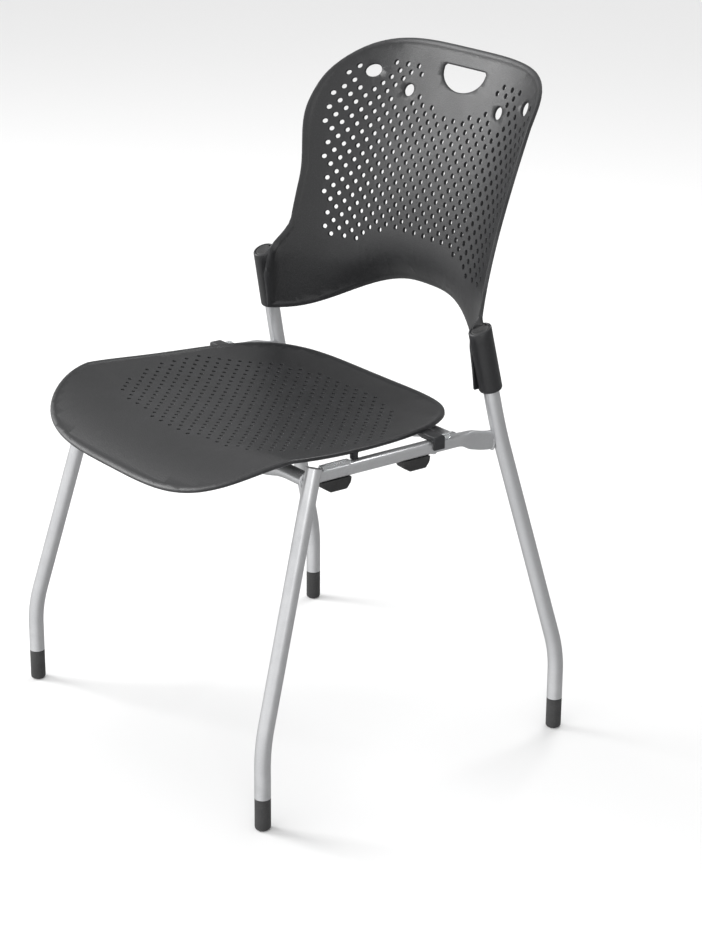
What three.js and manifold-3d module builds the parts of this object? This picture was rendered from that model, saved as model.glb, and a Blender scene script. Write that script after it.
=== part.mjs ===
// Stacking chair: a perforated seat and back moulded in plastic, carried by a bent steel tube frame.
// Millimetres, +Z up. The sitter faces -Y, and +X is the sitter's left.
import * as THREE from 'three';
import { mergeVertices } from 'three/addons/utils/BufferGeometryUtils.js';
import Module from 'manifold-3d';

const wasm = await Module();
wasm.setup();

// ---- Driving dimensions -------------------------------------------------------------------------
const clearance = 0.3;

const tubeRadius = 9.8;
const tubeWall = 2;
const tubeSides = 12;
const tubeSteps = 10;
const boreSides = 20;

// What plugs a tube clears the flats of its many-sided bore.
const plugEase = 0.034;
const plugRadius = (tubeRadius - tubeWall) * Math.cos(Math.PI / tubeSides) - plugEase;

const footHalfWidth = 260;      // foot centre to the plane of symmetry
const footDepth = 458;          // front foot centre to rear foot centre
const footCapHeight = 41;
const footCapRounding = 4;
const spigotLength = 16;

const kneeHeight = 105;         // where each leg bends from upright to leaning
const kneeReach = 26;           // straight tube taken up by half the bend
const railLevel = 412;          // middle of the rail's section
const railInset = 34;           // foot centre to rail centre, across the chair
const railHalfSpacing = footHalfWidth - railInset;
const frontLegTop = { inset: 26, rearward: 93, height: railLevel + 14 };
const rearLegJunction = { inset: 29, forward: 83, height: railLevel + 1 };
const postTop = { inset: 36.5, forward: 109, height: railLevel + 126 };

const plugLength = 12;
const plugRecess = 0.8;

const railWidth = 18;
const railHeight = 15;
const railWall = 2;
const railCorner = 5;
const railEnd = { length: 38, drop: 11, tall: 1.55, narrow: 0.62 };

const crossTubeRadius = 9;
const crossTubeWall = 1.6;
const crossTubeSteps = 14;
const crossTubeDrop = 16;       // how far the middle hangs below the ends
const frontCrossLevel = railLevel - 2;
const rearCross = { ahead: 56, level: railLevel - 4 };

const padLength = 42;
const padWidth = 11;
const padHeight = 5;
const frontPadGap = 14;         // front leg centre to the near end of the pad
const rearPadLength = 12;

const bumperLength = 42;
const bumperWidth = 16;
const bumperHeight = 15;
const bumperTaper = 11;         // how much shorter the lower face is at each end
const bumperPitch = 118;
const frontBumperGap = 14;

const seatOverhang = 4;         // how far the seat's side stands outside the rail's centre
const seatHalfWidth = railHalfSpacing + seatOverhang;
const seatLength = footDepth - 46;
const seatFront = 42;           // how far the seat's front edge stands ahead of the front feet
const seatThickness = 5;
const seatDishLevel = railLevel + 3;
const seatSquareness = 3.6;
const seatTaper = 0.075;
const seatRearRise = 9;
const seatSideLift = 18;
const waterfallDrop = 47;
const waterfallLength = 112;

const lugWidth = 16;
const lugThickness = 7;
const lugHook = 3;
const lugBehindRailFront = 188;
const bossRadius = 5;
const frontScrewBehindRailFront = 72;
const seatScrewRadius = 2;
const seatScrewHeadRadius = 4.2;
const seatScrewHeadHeight = 2.4;

const backTop = 830;
const backHalfWidth = footHalfWidth - 49;
const backWaist = 13;           // how much narrower the back is just above the sockets
const backShoulder = backTop - 175;       // height where the rounding of the top corners begins
const backThickness = 5;
const backSquareness = 4.4;
const backRake = 93;            // how far the top centre stands behind the arch
const backWingDepth = 67;       // how far the side edges come forward of the middle
const backWingPower = 3.3;
const rakeFoot = postTop.height + 1;  // height above which the back leans rearward
const archTop = postTop.height - 7;
const archRise = 65;
const archPower = 1.3;
const archCurl = 28;            // how far the lower edge turns rearward at its middle
const archCurlHeight = 60;
const archBehindPost = 71;      // arch centre behind the top of the post

const socketRadius = 14.5;
const socketLength = 81;
const socketRounding = 4;
const socketRoof = 7;           // solid plastic above the end of the post
const socketCapRadius = 11.4;
const socketCapHeight = 2;
const backScrewRadius = 2.5;
const backScrewHeadRadius = 4.6;
const backScrewHeadHeight = 2.6;
const backScrewBelowTop = 48;

const handle = { halfWidth: 43, top: backTop - 22, height: 33, corner: 7 };
const innerHole = { x: 88, z: backTop - 64, radiusX: 9, radiusZ: 8.5 };
const outerHole = { x: 149, z: backTop - 47, radiusX: 11.5, radiusZ: 9 };

// ---- Finishes -----------------------------------------------------------------------------------
const finish = (color, roughness, metalness, extra = {}) =>
  new THREE.MeshStandardMaterial({ color, roughness, metalness, ...extra });
const silverCoat = finish(0xa9acb0, 0.38, 0.55);
const charcoalPlastic = finish(0x2b2c2e, 0.52, 0);
const darkPlastic = finish(0x3a3a3b, 0.6, 0);
const blackRubber = finish(0x1c1c1d, 0.75, 0);
const clearPlastic = finish(0xd5dadb, 0.15, 0, { transparent: true, opacity: 0.45 });
const zincSteel = finish(0x8d9093, 0.35, 0.9);

// ---- Solids -------------------------------------------------------------------------------------
function bareGeometry(geometry) {
  const bare = geometry.clone();
  bare.deleteAttribute('normal');
  bare.deleteAttribute('uv');
  return mergeVertices(bare, 1e-4);
}

function solid(geometry) {
  const merged = bareGeometry(geometry);
  return new wasm.Manifold(new wasm.Mesh({
    numProp: 3,
    vertProperties: new Float32Array(merged.attributes.position.array),
    triVerts: new Uint32Array(merged.index.array),
  }));
}

function geometryOf(body) {
  const mesh = body.getMesh();
  const geometry = new THREE.BufferGeometry();
  geometry.setAttribute('position', new THREE.BufferAttribute(new Float32Array(mesh.vertProperties), 3));
  geometry.setIndex(new THREE.BufferAttribute(new Uint32Array(mesh.triVerts), 1));
  geometry.computeVertexNormals();
  return geometry;
}

const chair = new THREE.Group();

function addPiece(name, geometry, material) {
  const mesh = new THREE.Mesh(geometry, material);
  mesh.name = name;
  chair.add(mesh);
  return mesh;
}

const at = (x, y, z) => new THREE.Vector3(x, y, z);

function ringShape(outer, inner) {
  const shape = new THREE.Shape();
  shape.absarc(0, 0, outer, 0, Math.PI * 2);
  if (inner > 0) {
    const hole = new THREE.Path();
    hole.absarc(0, 0, inner, 0, Math.PI * 2);
    shape.holes.push(hole);
  }
  return shape;
}

function alongPath(shape, path, steps, sides = tubeSides) {
  return new THREE.ExtrudeGeometry(shape, {
    steps, extrudePath: path, curveSegments: sides / 2, bevelEnabled: false,
  });
}

function roundBar(from, to, radius) {
  return alongPath(ringShape(radius, 0), new THREE.LineCurve3(from, to), 1, boreSides);
}

function turned(profile, from, to, segments = 24) {
  const geometry = new THREE.LatheGeometry(profile.map(([r, h]) => new THREE.Vector2(r, h)), segments);
  const direction = to.clone().sub(from).normalize();
  geometry.applyQuaternion(new THREE.Quaternion().setFromUnitVectors(at(0, 1, 0), direction));
  geometry.translate(from.x, from.y, from.z);
  return geometry;
}

function roundedSection(width, height, corner) {
  const shape = new THREE.Shape();
  const w = width / 2 - corner;
  const h = height / 2 - corner;
  shape.absarc(w, h, corner, 0, Math.PI / 2);
  shape.absarc(-w, h, corner, Math.PI / 2, Math.PI);
  shape.absarc(-w, -h, corner, Math.PI, Math.PI * 1.5);
  shape.absarc(w, -h, corner, Math.PI * 1.5, Math.PI * 2);
  return shape;
}

// ---- Frame lines --------------------------------------------------------------------------------
const frontFootY = 0;
const rearFootY = footDepth;
const halfKnee = (point, next) => next.clone().sub(point).normalize().multiplyScalar(kneeReach).add(point);

function frontLegPoints(side) {
  const foot = at(side * footHalfWidth, frontFootY, 0);
  const knee = at(foot.x, foot.y, kneeHeight);
  const top = at(side * (footHalfWidth - frontLegTop.inset), frontFootY + frontLegTop.rearward,
    frontLegTop.height);
  return { foot, knee, top };
}

function rearLegPoints(side) {
  const foot = at(side * footHalfWidth, rearFootY, 0);
  const knee = at(foot.x, foot.y, kneeHeight);
  const junction = at(side * (footHalfWidth - rearLegJunction.inset), rearFootY - rearLegJunction.forward,
    rearLegJunction.height);
  const top = at(side * (footHalfWidth - postTop.inset), rearFootY - postTop.forward, postTop.height);
  return { foot, knee, junction, top };
}

function legPath(points, fromHeight) {
  const [foot, knee, ...rest] = points;
  const start = at(foot.x, foot.y, fromHeight);
  const bendStart = halfKnee(knee, start);
  const bendEnd = halfKnee(knee, rest[0]);
  const path = new THREE.CurvePath();
  path.add(new THREE.LineCurve3(start, bendStart));
  path.add(new THREE.QuadraticBezierCurve3(bendStart, knee, bendEnd));
  if (rest.length === 1) {
    path.add(new THREE.LineCurve3(bendEnd, rest[0]));
    return path;
  }
  const easeIn = halfKnee(rest[0], bendEnd);
  const easeOut = halfKnee(rest[0], rest[1]);
  path.add(new THREE.LineCurve3(bendEnd, easeIn));
  path.add(new THREE.QuadraticBezierCurve3(easeIn, rest[0], easeOut));
  path.add(new THREE.LineCurve3(easeOut, rest[1]));
  return path;
}

const frontLegPath = (side) => {
  const { foot, knee, top } = frontLegPoints(side);
  return legPath([foot, knee, top], footCapHeight + clearance);
};

const rearLegPath = (side) => {
  const { foot, knee, junction, top } = rearLegPoints(side);
  return legPath([foot, knee, junction, top], footCapHeight + clearance);
};

const railFrontY = frontFootY + frontLegTop.rearward - 4;
const railRearY = rearFootY - rearLegJunction.forward - tubeRadius * 0.4;
const railTop = railLevel + railHeight / 2;
const railBottom = railLevel - railHeight / 2;
const seatFrontY = frontFootY - seatFront;
const seatRearY = seatFrontY + seatLength;
const lugY = railFrontY + lugBehindRailFront;
const frontScrewY = railFrontY + frontScrewBehindRailFront;
const bossX = railHalfSpacing - 5;

// ---- Tubes --------------------------------------------------------------------------------------
function makeLegs(side, suffix) {
  const tube = ringShape(tubeRadius, tubeRadius - tubeWall);
  addPiece(`front_leg_${suffix}`, alongPath(tube, frontLegPath(side), tubeSteps), silverCoat);
  const rearLeg = solid(alongPath(tube, rearLegPath(side), tubeSteps + 4))
    .subtract(solid(backScrewBar(side, backScrewRadius + clearance)));
  addPiece(`rear_leg_${suffix}`, geometryOf(rearLeg), silverCoat);
}

function legEnvelope(path, steps) {
  return solid(alongPath(ringShape(tubeRadius + clearance, 0), path, steps));
}

// The rail's rear end is pressed tall and thin, and drops to meet the post.
function makeRail(side, suffix) {
  const section = roundedSection(railWidth, railHeight, railCorner);
  const inside = roundedSection(railWidth - 2 * railWall, railHeight - 2 * railWall, railCorner - railWall);
  section.holes.push(new THREE.Path(inside.getPoints(2)));
  const length = railRearY - railFrontY;
  const rail = new THREE.ExtrudeGeometry(section, {
    depth: length, steps: 9, curveSegments: 2, bevelEnabled: false,
  });
  rail.rotateX(-Math.PI / 2);
  const position = rail.attributes.position;
  for (let i = 0; i < position.count; i += 1) {
    const along = position.getY(i);
    const end = THREE.MathUtils.smoothstep(along, length - railEnd.length * 1.5, length - railEnd.length * 0.5);
    const dropped = THREE.MathUtils.smoothstep(along, length - railEnd.length * 1.6, length);
    position.setX(i, position.getX(i) * THREE.MathUtils.lerp(1, railEnd.narrow, end));
    position.setZ(i, position.getZ(i) * THREE.MathUtils.lerp(1, railEnd.tall, end) - railEnd.drop * dropped);
  }
  rail.translate(side * railHalfSpacing, railFrontY, railLevel);
  const cut = solid(rail)
    .subtract(legEnvelope(frontLegPath(side), tubeSteps))
    .subtract(legEnvelope(rearLegPath(side), tubeSteps + 4))
    .subtract(solid(screwBar(side * bossX, frontScrewY, seatScrewRadius + clearance)))
    .subtract(solid(screwBar(side * railHalfSpacing, lugY, seatScrewRadius + clearance)));
  addPiece(`side_rail_${suffix}`, geometryOf(cut), silverCoat);
}

// The room that a rail's front end takes, for the cross tube that butts against it.
function railEnvelope(side) {
  const block = new THREE.BoxGeometry(railWidth + 2 * clearance, 60, railHeight + 2 * clearance);
  block.translate(side * railHalfSpacing, railFrontY - clearance + 30, railLevel);
  return solid(block);
}

function crossTubePath(halfSpan, y, level) {
  const dropped = level - crossTubeDrop;
  const shoulder = halfSpan * 0.78;
  const flat = halfSpan * 0.6;
  const path = new THREE.CurvePath();
  path.add(new THREE.LineCurve3(at(-halfSpan, y, level), at(-shoulder, y, level)));
  path.add(new THREE.CubicBezierCurve3(at(-shoulder, y, level), at(-(shoulder + flat) / 2, y, level),
    at(-(shoulder + flat) / 2, y, dropped), at(-flat, y, dropped)));
  path.add(new THREE.LineCurve3(at(-flat, y, dropped), at(flat, y, dropped)));
  path.add(new THREE.CubicBezierCurve3(at(flat, y, dropped), at((shoulder + flat) / 2, y, dropped),
    at((shoulder + flat) / 2, y, level), at(shoulder, y, level)));
  path.add(new THREE.LineCurve3(at(shoulder, y, level), at(halfSpan, y, level)));
  return path;
}

function makeCrossTubes() {
  const tube = ringShape(crossTubeRadius, crossTubeRadius - crossTubeWall);
  const lean = (frontCrossLevel - kneeHeight) / (frontLegTop.height - kneeHeight);
  const legX = footHalfWidth - frontLegTop.inset * lean;
  const legY = frontFootY + frontLegTop.rearward * lean;
  const front = solid(alongPath(tube, crossTubePath(legX, legY, frontCrossLevel), crossTubeSteps))
    .subtract(legEnvelope(frontLegPath(-1), tubeSteps))
    .subtract(legEnvelope(frontLegPath(1), tubeSteps))
    .subtract(railEnvelope(-1))
    .subtract(railEnvelope(1));
  addPiece('front_cross_tube', geometryOf(front), silverCoat);

  const innerFace = railHalfSpacing - railWidth / 2 - clearance;
  const rear = alongPath(tube, crossTubePath(innerFace, railRearY - rearCross.ahead, rearCross.level),
    crossTubeSteps);
  addPiece('rear_cross_tube', rear, silverCoat);
}

// ---- Plugs, feet, pads --------------------------------------------------------------------------
function makeLegPlug(side, suffix) {
  const { knee, top } = frontLegPoints(side);
  const radius = plugRadius;
  const down = knee.clone().sub(top).normalize();
  const upper = top.clone().addScaledVector(down, plugRecess);
  const lower = top.clone().addScaledVector(down, plugLength);
  const profile = [[0, 0], [radius * 0.75, 0], [radius, 2], [radius, plugLength - plugRecess - 0.8],
    [radius - 0.8, plugLength - plugRecess], [0, plugLength - plugRecess]];
  addPiece(`leg_plug_${suffix}`, turned(profile, lower, upper, 12), blackRubber);
}

function makeFootCap(name, x, y) {
  const stem = plugRadius;
  const corner = footCapRounding * (1 - Math.SQRT1_2);
  const profile = [[0, 0], [tubeRadius - footCapRounding, 0], [tubeRadius - corner, corner],
    [tubeRadius, footCapRounding], [tubeRadius, footCapHeight], [stem, footCapHeight],
    [stem, footCapHeight + spigotLength - 1], [stem - 1, footCapHeight + spigotLength],
    [0, footCapHeight + spigotLength]];
  addPiece(name, turned(profile, at(x, y, 0), at(x, y, 1), 14), darkPlastic);
}

function padBlock(length, width, height) {
  const block = new THREE.ExtrudeGeometry(roundedSection(width, length, width * 0.35), {
    depth: height, steps: 1, curveSegments: 4, bevelEnabled: false,
  });
  return block;
}

function makePads(side, suffix) {
  const front = padBlock(padLength, padWidth, padHeight);
  const x = side * (railHalfSpacing + 2.5);
  front.translate(x, frontFootY + frontLegTop.rearward + frontPadGap + padLength / 2, railTop + clearance);
  addPiece(`rail_pad_front_${suffix}`, front, clearPlastic);
  const rear = padBlock(rearPadLength, padWidth, padHeight);
  rear.translate(x, lugY + lugWidth / 2 + 2 + rearPadLength / 2, railTop + clearance);
  addPiece(`rail_pad_rear_${suffix}`, rear, clearPlastic);
}

function stackBumper(y, side) {
  const half = bumperLength / 2;
  const shape = new THREE.Shape();
  shape.moveTo(-half, 0);
  shape.lineTo(half, 0);
  shape.lineTo(half, -bumperHeight * 0.45);
  shape.lineTo(half - bumperTaper * 0.6, -bumperHeight);
  shape.lineTo(-half + bumperTaper * 1.3, -bumperHeight);
  shape.lineTo(-half, -bumperHeight * 0.35);
  const block = new THREE.ExtrudeGeometry(shape, {
    depth: bumperWidth - 2, steps: 1, bevelEnabled: true, bevelThickness: 1, bevelSize: 1,
    bevelOffset: -1, bevelSegments: 1,
  });
  block.rotateX(Math.PI / 2);
  block.rotateZ(Math.PI / 2);
  block.computeBoundingBox();
  const middle = block.boundingBox.getCenter(at(0, 0, 0));
  block.translate(side * railHalfSpacing - middle.x, y - middle.y,
    railBottom - clearance - block.boundingBox.max.z);
  return block;
}

function makeBumpers(side, suffix) {
  const y = frontFootY + frontLegTop.rearward + frontBumperGap + bumperLength / 2;
  addPiece(`stack_bumper_front_${suffix}`, stackBumper(y, side), blackRubber);
  addPiece(`stack_bumper_rear_${suffix}`, stackBumper(y + bumperPitch, side), blackRubber);
}

// ---- Shells -------------------------------------------------------------------------------------
// Carries a square grid onto a rounded square, so the outline has no corners.
function roundedSquare(a, b, squareness) {
  return [a * (1 - Math.abs(b) ** squareness / 2) ** (1 / squareness),
    b * (1 - Math.abs(a) ** squareness / 2) ** (1 / squareness)];
}

const seatMiddleY = seatFrontY + seatLength / 2;

function seatHeight(x, y) {
  const dishY = seatMiddleY + 46;
  const bowl = seatRearRise * ((y - dishY) / (seatRearY - dishY)) ** 2;
  const fall = Math.max(0, (seatFrontY + waterfallLength - y) / waterfallLength);
  const fade = 1 - THREE.MathUtils.clamp(fall / 1.05, 0, 1);
  const lift = seatSideLift * Math.min(1.1, Math.abs(x) / seatHalfWidth) ** 2.6 * fade;
  return seatDishLevel + bowl + lift - waterfallDrop * fall ** 2;
}

function seatPlan(a, b) {
  const [u, v] = roundedSquare(a, b, seatSquareness);
  const taper = 1 - seatTaper * THREE.MathUtils.smoothstep(v, -0.5, 0.9);
  return [u * seatHalfWidth * taper, seatMiddleY + v * seatLength / 2];
}

// Bends a flat board to a surface, with its thickness square to the surface.
function shell(columns, rows, thickness, place) {
  const board = new THREE.BoxGeometry(2, 2, 1, columns, rows, 1);
  const position = board.attributes.position;
  for (let i = 0; i < position.count; i += 1) {
    const { point, normal } = place(position.getX(i), position.getY(i));
    point.addScaledVector(normal, (position.getZ(i) - 0.5) * thickness);
    position.setXYZ(i, point.x, point.y, point.z);
  }
  return board;
}

const slope = (f, x, y) => [f(x + 0.5, y) - f(x - 0.5, y), f(x, y + 0.5) - f(x, y - 0.5)];

function seatBoard() {
  return shell(20, 20, seatThickness, (a, b) => {
    const [x, y] = seatPlan(a, b);
    const [sx, sy] = slope(seatHeight, x, y);
    return { point: at(x, y, seatHeight(x, y)), normal: at(-sx, -sy, 1).normalize() };
  });
}

const screwBar = (x, y, radius) => roundBar(at(x, y, railBottom - 5), at(x, y, railTop + 6), radius);

function seatLug(side) {
  const shape = new THREE.Shape();
  const inner = railHalfSpacing - 46;
  const outer = railHalfSpacing + railWidth / 2 + clearance;
  const under = railTop + clearance;
  shape.moveTo(inner, under + 3);
  shape.lineTo(inner + 22, under);
  shape.lineTo(outer, under);
  shape.lineTo(outer, railLevel - 2);
  shape.lineTo(outer + lugHook, railLevel - 2);
  shape.lineTo(outer + lugHook, under + lugThickness - 2);
  shape.lineTo(outer + lugHook - 2, under + lugThickness);
  shape.lineTo(inner, under + lugThickness);
  const lug = new THREE.ExtrudeGeometry(shape, { depth: lugWidth, bevelEnabled: false });
  lug.rotateX(Math.PI / 2);
  lug.translate(0, lugY + lugWidth / 2, 0);
  if (side < 0) {
    lug.rotateZ(Math.PI);
    lug.translate(0, 2 * lugY, 0);
  }
  return solid(lug);
}

function makeSeat() {
  let seat = solid(seatBoard());
  for (const side of [-1, 1]) {
    const bossTop = seatHeight(bossX, frontScrewY) - seatThickness / 2;
    const boss = roundBar(at(side * bossX, frontScrewY, railTop + clearance),
      at(side * bossX, frontScrewY, bossTop), bossRadius);
    seat = seat.add(solid(boss)).add(seatLug(side));
    seat = seat.subtract(solid(screwBar(side * bossX, frontScrewY, seatScrewRadius + clearance)));
    seat = seat.subtract(solid(screwBar(side * railHalfSpacing, lugY, seatScrewRadius + clearance)));
  }
  addPiece('seat_shell', geometryOf(seat), charcoalPlastic);
}

function makeSeatScrew(name, x, y) {
  const bottom = railBottom - clearance - seatScrewHeadHeight;
  const profile = [[0, 0], [seatScrewHeadRadius * 0.7, 0], [seatScrewHeadRadius, seatScrewHeadHeight * 0.6],
    [seatScrewHeadRadius, seatScrewHeadHeight], [seatScrewRadius, seatScrewHeadHeight],
    [seatScrewRadius, railTop + 5.4 - bottom], [0, railTop + 5.9 - bottom]];
  addPiece(name, turned(profile, at(x, y, bottom), at(x, y, bottom + 1), 12), zincSteel);
}

// The back's depth: a raked middle line, side edges that sweep forward, and an arch that turns rearward.
const archY = rearFootY - postTop.forward + archBehindPost;

function archAt(x) {
  const across = Math.min(1, Math.abs(x) / backHalfWidth) ** archPower;
  return archTop - archRise * Math.sin(across * Math.PI / 2) ** 2;
}

function backDepth(x, z) {
  const rise = Math.max(0, (z - rakeFoot) / (backTop - rakeFoot));
  const flatter = 1 - 0.2 * THREE.MathUtils.smoothstep(z, backTop - 60, backTop);
  const wing = backWingDepth * flatter * Math.min(1.02, Math.abs(x) / backHalfWidth) ** backWingPower;
  const nearArch = THREE.MathUtils.clamp(1 - (z - archAt(x)) / archCurlHeight, 0, 1);
  const nearMiddle = 1 - THREE.MathUtils.smoothstep(Math.abs(x), backHalfWidth * 0.12, backHalfWidth * 0.88);
  return archY + backRake * rise ** 1.4 - wing + archCurl * nearMiddle * nearArch ** 2;
}

const socketJoinX = footHalfWidth - postTop.inset - socketRadius * 0.5;

function backPlan(a, b) {
  const [u, v] = b > 0 ? roundedSquare(a, b, backSquareness) : [a, b];
  const edgeZ = v > 0 ? THREE.MathUtils.lerp(backShoulder, backTop, v)
    : THREE.MathUtils.lerp(backShoulder, archTop - archRise, -v);
  const waist = backWaist * (1 - THREE.MathUtils.smoothstep(edgeZ, backShoulder - 15, backShoulder + 85));
  const flare = 1 - THREE.MathUtils.smoothstep(edgeZ, postTop.height, postTop.height + 52);
  const x = u * THREE.MathUtils.lerp(backHalfWidth - waist, socketJoinX, flare);
  const z = v > 0 ? THREE.MathUtils.lerp(backShoulder, backTop, v)
    : THREE.MathUtils.lerp(backShoulder, archAt(x), -v);
  return [x, z];
}

function backBoard() {
  return shell(22, 22, backThickness, (a, b) => {
    const [x, z] = backPlan(a, b);
    const [sx, sz] = slope(backDepth, x, z);
    return { point: at(x, backDepth(x, z), z), normal: at(sx, -1, sz).normalize() };
  });
}

function throughBack(shape) {
  const cutter = new THREE.ExtrudeGeometry(shape, { depth: 400, curveSegments: 8, bevelEnabled: false });
  cutter.rotateX(Math.PI / 2);
  cutter.translate(0, archY + 300, 0);
  return solid(cutter);
}

function handleShape() {
  const { halfWidth, top, height, corner } = handle;
  const shape = new THREE.Shape();
  shape.moveTo(-halfWidth + corner, top);
  shape.lineTo(halfWidth - corner, top);
  shape.quadraticCurveTo(halfWidth, top, halfWidth, top - corner);
  shape.bezierCurveTo(halfWidth * 0.9, top - height * 0.75, halfWidth * 0.5, top - height, 0, top - height);
  shape.bezierCurveTo(-halfWidth * 0.5, top - height, -halfWidth * 0.9, top - height * 0.75,
    -halfWidth, top - corner);
  shape.quadraticCurveTo(-halfWidth, top, -halfWidth + corner, top);
  return shape;
}

function ovalShape({ radiusX, radiusZ, z }, x) {
  const shape = new THREE.Shape();
  shape.absellipse(x, z, radiusX, radiusZ, 0, Math.PI * 2);
  return shape;
}

// The line of the socket and of the post inside it.
function postLine(side) {
  const { junction, top } = rearLegPoints(side);
  const up = top.clone().sub(junction).normalize();
  return { up, top, crown: top.clone().addScaledVector(up, socketRoof) };
}

function backScrewPoints(side) {
  const { up, top } = postLine(side);
  const centre = top.clone().addScaledVector(up, -backScrewBelowTop);
  const rearward = at(0, 1, 0).addScaledVector(up, -up.y).normalize();
  return { centre, rearward };
}

function backScrewBar(side, radius) {
  const { centre, rearward } = backScrewPoints(side);
  return roundBar(centre, centre.clone().addScaledVector(rearward, socketRadius + 6), radius);
}

function socketBody(side) {
  const { up, crown } = postLine(side);
  const lower = crown.clone().addScaledVector(up, -socketLength);
  const profile = [[0, 0], [socketRadius - socketRounding, 0],
    [socketRadius - socketRounding * (1 - Math.SQRT1_2), socketRounding * (1 - Math.SQRT1_2)],
    [socketRadius, socketRounding], [socketRadius, socketLength - 1], [socketRadius - 1, socketLength],
    [0, socketLength]];
  return solid(turned(profile, lower, crown, 20));
}

function makeBack() {
  let back = solid(backBoard());
  for (const side of [-1, 1]) {
    back = back.add(socketBody(side));
  }
  for (const side of [-1, 1]) {
    const { up, top, crown } = postLine(side);
    const { centre, rearward } = backScrewPoints(side);
    const past = top.clone().addScaledVector(up, -socketLength - 30);
    const headSeat = centre.clone().addScaledVector(rearward, socketRadius - backScrewHeadHeight - clearance);
    back = back
      .subtract(solid(roundBar(past, top.clone().addScaledVector(up, clearance), tubeRadius + clearance)))
      .subtract(solid(roundBar(crown.clone().addScaledVector(up, -socketCapHeight),
        crown.clone().addScaledVector(up, 4), socketCapRadius)))
      .subtract(solid(backScrewBar(side, backScrewRadius + clearance)))
      .subtract(solid(roundBar(headSeat, headSeat.clone().addScaledVector(rearward, 12),
        backScrewHeadRadius + clearance)))
      .subtract(throughBack(ovalShape(innerHole, side * innerHole.x)))
      .subtract(throughBack(ovalShape(outerHole, side * outerHole.x)));
  }
  back = back.subtract(throughBack(handleShape()));
  addPiece('back_shell', geometryOf(back), charcoalPlastic);
}

function makeSocketFittings(side, suffix) {
  const { up, crown } = postLine(side);
  const radius = socketCapRadius - clearance;
  const height = socketCapHeight - clearance - 0.3;
  const under = crown.clone().addScaledVector(up, -socketCapHeight + clearance);
  const disc = turned([[0, 0], [radius, 0], [radius, height - 0.4], [radius - 0.5, height],
    [radius - 3, height - 0.3], [0, height - 0.3]], under, crown, 16);
  const { centre, rearward } = backScrewPoints(side);
  const notch = crown.clone().addScaledVector(rearward, radius);
  const slot = roundBar(notch.clone().addScaledVector(up, -3), notch.clone().addScaledVector(up, 3), 1.6);
  addPiece(`socket_cap_${suffix}`, geometryOf(solid(disc).subtract(solid(slot))), darkPlastic);

  const reach = socketRadius - backScrewHeadHeight;
  const start = tubeRadius - tubeWall - 2;
  const profile = [[0, 0], [backScrewRadius, 0], [backScrewRadius, reach - start],
    [backScrewHeadRadius, reach - start], [backScrewHeadRadius, reach - start + backScrewHeadHeight * 0.6],
    [backScrewHeadRadius * 0.7, reach - start + backScrewHeadHeight],
    [0, reach - start + backScrewHeadHeight]];
  const from = centre.clone().addScaledVector(rearward, start);
  const screw = turned(profile, from, from.clone().add(rearward), 12);
  addPiece(`back_screw_${suffix}`, screw, zincSteel);
}

// ---- Assembly -----------------------------------------------------------------------------------
for (const [side, suffix] of [[1, 'left'], [-1, 'right']]) {
  makeLegs(side, suffix);
  makeRail(side, suffix);
  makeLegPlug(side, suffix);
  makeFootCap(`foot_cap_front_${suffix}`, side * footHalfWidth, frontFootY);
  makeFootCap(`foot_cap_rear_${suffix}`, side * footHalfWidth, rearFootY);
  makePads(side, suffix);
  makeBumpers(side, suffix);
  makeSeatScrew(`seat_screw_front_${suffix}`, side * bossX, frontScrewY);
  makeSeatScrew(`seat_screw_rear_${suffix}`, side * railHalfSpacing, lugY);
  makeSocketFittings(side, suffix);
}
makeCrossTubes();
makeSeat();
makeBack();

// The origin is on the floor, under the middle of the chair's outline.
const extent = new THREE.Box3().setFromObject(chair);
chair.position.y = -(extent.min.y + extent.max.y) / 2;

export default chair;
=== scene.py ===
"""A stacking chair: perforated plastic seat and back on a bent steel tube frame.

Metres, +Z up. The sitter faces -Y, and +X is the sitter's left.
"""
import logging
import math
from dataclasses import dataclass, field
from enum import Enum
from typing import Callable, Iterable, Sequence

import bmesh
import bpy
from mathutils import Matrix, Vector


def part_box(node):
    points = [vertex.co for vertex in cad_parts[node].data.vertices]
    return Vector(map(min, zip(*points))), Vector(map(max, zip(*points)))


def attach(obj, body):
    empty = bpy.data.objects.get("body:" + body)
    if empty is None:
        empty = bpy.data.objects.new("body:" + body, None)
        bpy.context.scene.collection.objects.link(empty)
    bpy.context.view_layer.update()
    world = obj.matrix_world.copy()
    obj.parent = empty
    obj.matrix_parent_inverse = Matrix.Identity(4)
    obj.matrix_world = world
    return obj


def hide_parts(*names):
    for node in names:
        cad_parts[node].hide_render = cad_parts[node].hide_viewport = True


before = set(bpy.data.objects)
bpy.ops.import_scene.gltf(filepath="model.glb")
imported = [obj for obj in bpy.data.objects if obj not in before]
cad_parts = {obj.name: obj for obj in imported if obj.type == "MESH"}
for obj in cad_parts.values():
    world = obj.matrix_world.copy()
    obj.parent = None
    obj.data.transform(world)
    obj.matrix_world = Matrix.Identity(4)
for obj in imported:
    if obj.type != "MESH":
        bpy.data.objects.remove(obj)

LOG = logging.getLogger("stacking_chair")
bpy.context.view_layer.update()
GAP = 0.0003
SIDES = ((1, "left"), (-1, "right"))

Point2 = tuple[float, float]
Socket = bpy.types.NodeSocket
Tree = bpy.types.NodeTree


class Slot(Enum):
    """The record's material slots."""

    FRAME = "frame"
    SHELL = "shell"
    CAP = "cap"
    RUBBER = "rubber"
    CLEAR = "clear"
    SCREW = "screw"


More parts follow.
